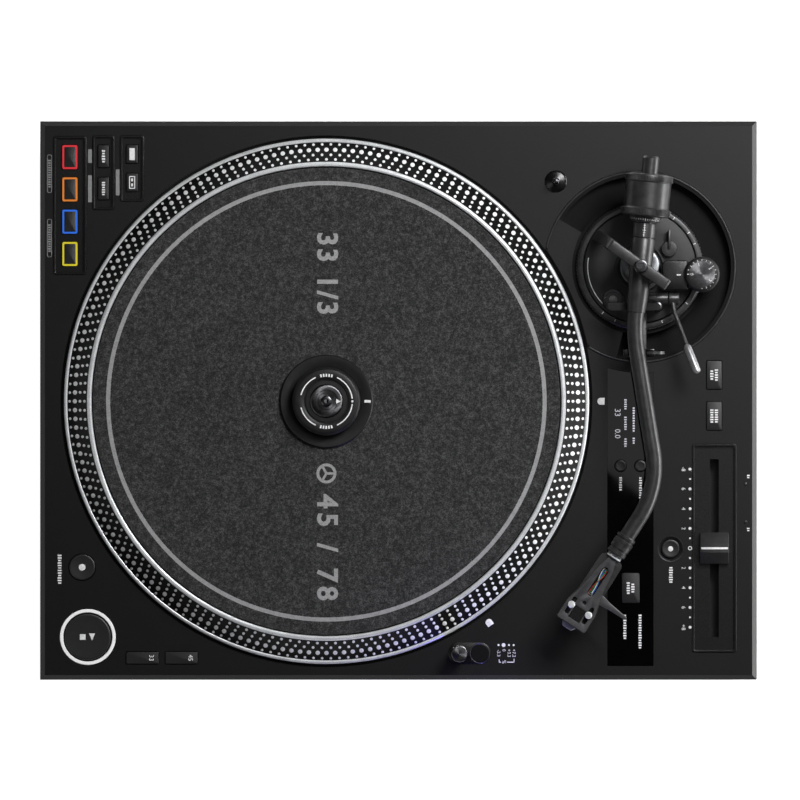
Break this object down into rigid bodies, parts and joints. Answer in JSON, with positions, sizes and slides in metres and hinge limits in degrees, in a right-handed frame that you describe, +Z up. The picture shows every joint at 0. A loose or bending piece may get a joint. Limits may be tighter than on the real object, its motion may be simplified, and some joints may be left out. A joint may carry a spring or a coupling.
{
  "type": "turntable record player",
  "caption": "Direct-drive record player with strobe platter, felt slipmat, record clamp, S-shaped tonearm, pitch fader, pads and a needle lamp on a heavy deck.",
  "frame": {"origin": "on the table, under the middle of the cabinet", "axes": "+X to the player's right, +Y to the back, +Z up"},
  "size_m": [0.453, 0.353, 0.1576],
  "materials": {
    "painted_metal": "near-black satin powder coat",
    "resin": "moulded black resin, fine texture",
    "dark_plastic": "moulded black plastic",
    "steel": "zinc-plated sheet",
    "platter_metal": "die-cast, black strobe rim with white dots and polished lips",
    "mat_felt": "dark grey felt with a light grey ring",
    "clamp_black": "black anodised",
    "rubber": "soft black rubber",
    "gloss": "gloss black panel",
    "glow": "translucent white light guide",
    "arm_metal": "black satin anodised",
    "chrome": "polished",
    "board": "glass-fibre circuit board",
    "copper": "enamelled copper wire on steel"
  },
  "bodies": {
    "cabinet": {"top_chassis": "painted_metal", "base_tray": "resin", "bottom_cover": "steel", "feet": "rubber", "case_screws": "steel", "motor": "copper", "deck_trays": "dark_plastic", "display_window": "gloss", "light_ring": "glow", "deck_fittings": "dark_plastic", "circuit_boards": "board", "power_supply": "board", "rear_panel": "steel", "rear_sockets": "dark_plastic", "arm_surround": "dark_plastic"},
    "platter_unit": {"platter": "platter_metal", "rotor": "steel", "clamp_base": "clamp_black"},
    "mat": {"slipmat": "mat_felt"},
    "knob": {"clamp_knob": "clamp_black"},
    "fader": {"fader_cap": "dark_plastic"},
    "needle_lamp": {"lamp": "clamp_black"},
    "rocker": {"power_rocker": "dark_plastic"},
    "ring": {"height_ring": "arm_metal"},
    "arm_mount": {"arm_base": "arm_metal", "arm_fittings": "dark_plastic", "arm_arch": "arm_metal", "armrest": "dark_plastic"},
    "skate_dial": {"anti_skate_dial": "clamp_black"},
    "lever": {"cue_lever": "chrome"},
    "lifter": {"lift_bar": "dark_plastic"},
    "lock": {"height_lock": "arm_metal"},
    "rest_hook": {"armrest_clamp": "dark_plastic"},
    "gimbal": {"gimbal_frame": "arm_metal"},
    "tonearm": {"arm_housing": "arm_metal", "arm_tube": "arm_metal", "headshell": "arm_metal", "cartridge": "dark_plastic"},
    "nut": {"lock_nut": "arm_metal"},
    "gauge": {"gauge_ring": "clamp_black"},
    "weight": {"counterweight": "clamp_black"},
    "start_button": {"start_button": "dark_plastic"},
    "motor_off_button": {"motor_off_button": "dark_plastic"},
    "display_button_left": {"display_button_left": "dark_plastic"},
    "display_button_right": {"display_button_right": "dark_plastic"},
    "reset_button": {"reset_button": "dark_plastic"},
    "speed_33_button": {"speed_33_button": "dark_plastic"},
    "speed_45_button": {"speed_45_button": "dark_plastic"},
    "mode_button_1": {"mode_button_1": "dark_plastic"},
    "mode_button_2": {"mode_button_2": "dark_plastic"},
    "track_button_1": {"track_button_1": "dark_plastic"},
    "track_button_2": {"track_button_2": "dark_plastic"},
    "pad_button_1": {"pad_button_1": "dark_plastic"},
    "pad_button_2": {"pad_button_2": "dark_plastic"},
    "pad_button_3": {"pad_button_3": "dark_plastic"},
    "pad_button_4": {"pad_button_4": "dark_plastic"},
    "needle_button": {"needle_button": "dark_plastic"},
    "step_pitch_button": {"step_pitch_button": "dark_plastic"},
    "tempo_range_button": {"tempo_range_button": "dark_plastic"},
    "lamp_button": {"lamp_button": "dark_plastic"}
  },
  "joints": [
    {"name": "platter_spin", "type": "hinge", "parent": "cabinet", "child": "platter_unit", "pos_m": [-0.0455, -0.0005, 0.1], "axis": [0, 0, 1], "continuous": true},
    {"name": "slipmat_slip", "type": "hinge", "parent": "platter_unit", "child": "mat", "pos_m": [-0.0455, -0.0005, 0.116], "axis": [0, 0, 1], "continuous": true},
    {"name": "clamp_knob_turn", "type": "hinge", "parent": "platter_unit", "child": "knob", "pos_m": [-0.0455, -0.0005, 0.125], "axis": [0, 0, 1], "range_deg": [-90, 90]},
    {"name": "fader_slide", "type": "slide", "parent": "cabinet", "child": "fader", "axis": [0, 1, 0], "range_m": [-0.05, 0.05]},
    {"name": "lamp_pop", "type": "slide", "parent": "cabinet", "child": "needle_lamp", "axis": [0, 0, 1], "range_m": [-0.02, 0]},
    {"name": "power_rock", "type": "hinge", "parent": "cabinet", "child": "rocker", "pos_m": [-0.038, 0.162, 0.076], "axis": [1, 0, 0], "range_deg": [0, 12]},
    {"name": "height_ring_turn", "type": "hinge", "parent": "cabinet", "child": "ring", "pos_m": [0.1525, 0.0844, 0.1], "axis": [0, 0, 1], "range_deg": [0, 150]},
    {"name": "arm_raise", "type": "slide", "parent": "cabinet", "child": "arm_mount", "axis": [0, 0, 1], "range_m": [0, 0.0063]},
    {"name": "anti_skate_turn", "type": "hinge", "parent": "arm_mount", "child": "skate_dial", "pos_m": [0.1914, 0.0796, 0.115], "axis": [0, 0, 1], "range_deg": [0, 270]},
    {"name": "cue_lever_turn", "type": "hinge", "parent": "arm_mount", "child": "lever", "pos_m": [0.172, 0.0644, 0.112], "axis": [1, 0, 0], "range_deg": [0, 28]},
    {"name": "cue_lift", "type": "slide", "parent": "arm_mount", "child": "lifter", "axis": [0, 0, 1], "range_m": [-0.0061, 0]},
    {"name": "height_lock_turn", "type": "hinge", "parent": "arm_mount", "child": "lock", "pos_m": [0.1709, 0.0957, 0.106], "axis": [0, 0, 1], "range_deg": [-60, 60]},
    {"name": "rest_hook_close", "type": "hinge", "parent": "arm_mount", "child": "rest_hook", "pos_m": [0.159, 0.03, 0.1364], "axis": [0, 1, 0], "range_deg": [-75, 0]},
    {"name": "arm_swing", "type": "hinge", "parent": "arm_mount", "child": "gimbal", "pos_m": [0.1525, 0.0844, 0.13], "axis": [0, 0, 1], "range_deg": [-41, 0]},
    {"name": "arm_tilt", "type": "hinge", "parent": "gimbal", "child": "tonearm", "pos_m": [0.1525, 0.0844, 0.14], "axis": [-0.809, 0.5878, 0], "range_deg": [0, 8]},
    {"name": "lock_nut_turn", "type": "hinge", "parent": "tonearm", "child": "nut", "pos_m": [0.14402, -0.08555, 0.14], "axis": [-0.5417, -0.8406, 0], "range_deg": [0, 90]},
    {"name": "weight_travel", "type": "slide", "parent": "tonearm", "child": "gauge", "axis": [0.0958, 0.9954, 0], "range_m": [0, 0.0091]},
    {"name": "weight_turn", "type": "hinge", "parent": "gauge", "child": "weight", "pos_m": [0.1525, 0.0844, 0.14], "axis": [0.0958, 0.9954, 0], "range_deg": [0, 1080]},
    {"name": "start_press", "type": "slide", "parent": "cabinet", "child": "start_button", "axis": [0, 0, 1], "range_m": [-0.0012, 0], "stiffness_N_per_m": 900},
    {"name": "motor_off_press", "type": "slide", "parent": "cabinet", "child": "motor_off_button", "axis": [0, 0, 1], "range_m": [-0.0012, 0], "stiffness_N_per_m": 700},
    {"name": "display_left_press", "type": "slide", "parent": "cabinet", "child": "display_button_left", "axis": [0, 0, 1], "range_m": [-0.001, 0], "stiffness_N_per_m": 500},
    {"name": "display_right_press", "type": "slide", "parent": "cabinet", "child": "display_button_right", "axis": [0, 0, 1], "range_m": [-0.001, 0], "stiffness_N_per_m": 500},
    {"name": "reset_press", "type": "slide", "parent": "cabinet", "child": "reset_button", "axis": [0, 0, 1], "range_m": [-0.001, 0], "stiffness_N_per_m": 500},
    {"name": "speed_33_press", "type": "slide", "parent": "cabinet", "child": "speed_33_button", "axis": [0, 0, 1], "range_m": [-0.001, 0], "stiffness_N_per_m": 600},
    {"name": "speed_45_press", "type": "slide", "parent": "cabinet", "child": "speed_45_button", "axis": [0, 0, 1], "range_m": [-0.001, 0], "stiffness_N_per_m": 600},
    {"name": "mode_1_press", "type": "slide", "parent": "cabinet", "child": "mode_button_1", "axis": [0, 0, 1], "range_m": [-0.001, 0], "stiffness_N_per_m": 500},
    {"name": "mode_2_press", "type": "slide", "parent": "cabinet", "child": "mode_button_2", "axis": [0, 0, 1], "range_m": [-0.001, 0], "stiffness_N_per_m": 500},
    {"name": "track_1_press", "type": "slide", "parent": "cabinet", "child": "track_button_1", "axis": [0, 0, 1], "range_m": [-0.001, 0], "stiffness_N_per_m": 500},
    {"name": "track_2_press", "type": "slide", "parent": "cabinet", "child": "track_button_2", "axis": [0, 0, 1], "range_m": [-0.001, 0], "stiffness_N_per_m": 500},
    {"name": "pad_1_press", "type": "slide", "parent": "cabinet", "child": "pad_button_1", "axis": [0, 0, 1], "range_m": [-0.001, 0], "stiffness_N_per_m": 600},
    {"name": "pad_2_press", "type": "slide", "parent": "cabinet", "child": "pad_button_2", "axis": [0, 0, 1], "range_m": [-0.001, 0], "stiffness_N_per_m": 600},
    {"name": "pad_3_press", "type": "slide", "parent": "cabinet", "child": "pad_button_3", "axis": [0, 0, 1], "range_m": [-0.001, 0], "stiffness_N_per_m": 600},
    {"name": "pad_4_press", "type": "slide", "parent": "cabinet", "child": "pad_button_4", "axis": [0, 0, 1], "range_m": [-0.001, 0], "stiffness_N_per_m": 600},
    {"name": "needle_press", "type": "slide", "parent": "cabinet", "child": "needle_button", "axis": [0, 0, 1], "range_m": [-0.001, 0], "stiffness_N_per_m": 600},
    {"name": "step_pitch_press", "type": "slide", "parent": "cabinet", "child": "step_pitch_button", "axis": [0, 0, 1], "range_m": [-0.001, 0], "stiffness_N_per_m": 600},
    {"name": "tempo_range_press", "type": "slide", "parent": "cabinet", "child": "tempo_range_button", "axis": [0, 0, 1], "range_m": [-0.001, 0], "stiffness_N_per_m": 600},
    {"name": "lamp_press", "type": "slide", "parent": "cabinet", "child": "lamp_button", "axis": [0, 0, 1], "range_m": [-0.0012, 0], "stiffness_N_per_m": 400}
  ],
  "couplings": [
    {"joint": "arm_raise", "follows": "height_ring_turn", "m_per_rad": 0.0022918},
    {"joint": "cue_lift", "follows": "cue_lever_turn", "m_per_rad": -0.012278},
    {"joint": "weight_travel", "follows": "weight_turn", "m_per_rad": 0.00047746}
  ]
}
